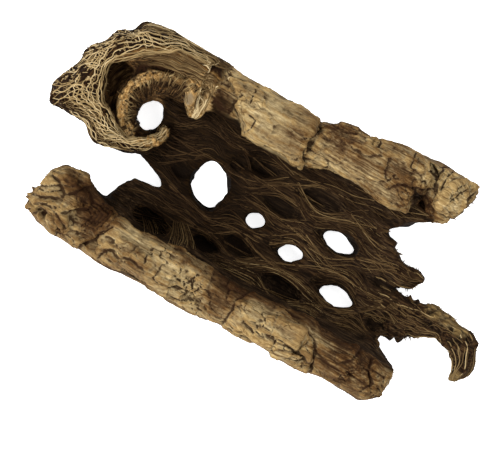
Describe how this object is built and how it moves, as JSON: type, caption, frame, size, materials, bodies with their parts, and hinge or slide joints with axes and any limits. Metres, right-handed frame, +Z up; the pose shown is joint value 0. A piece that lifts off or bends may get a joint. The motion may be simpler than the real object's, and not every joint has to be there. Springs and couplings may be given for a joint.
{
  "type": "cholla wood chunk",
  "caption": "Weathered chunk of old cholla cactus wood: an open trough of thick trunk wall with a pierced lattice floor, a curled knot and a hooked prong.",
  "frame": {"origin": "on the ground, below the middle of the chunk's outline as it lies on its back", "axes": "+X along the trunk from the curled knot to the hooked prong, +Y towards the rim that carries the knot, +Z up out of the trough"},
  "size_m": [0.2179, 0.1109, 0.0557],
  "materials": {
    "weathered_wood": "dry, weathered, dull"
  },
  "bodies": {
    "root": {"cholla_wood": "weathered_wood"}
  },
  "joints": []
}
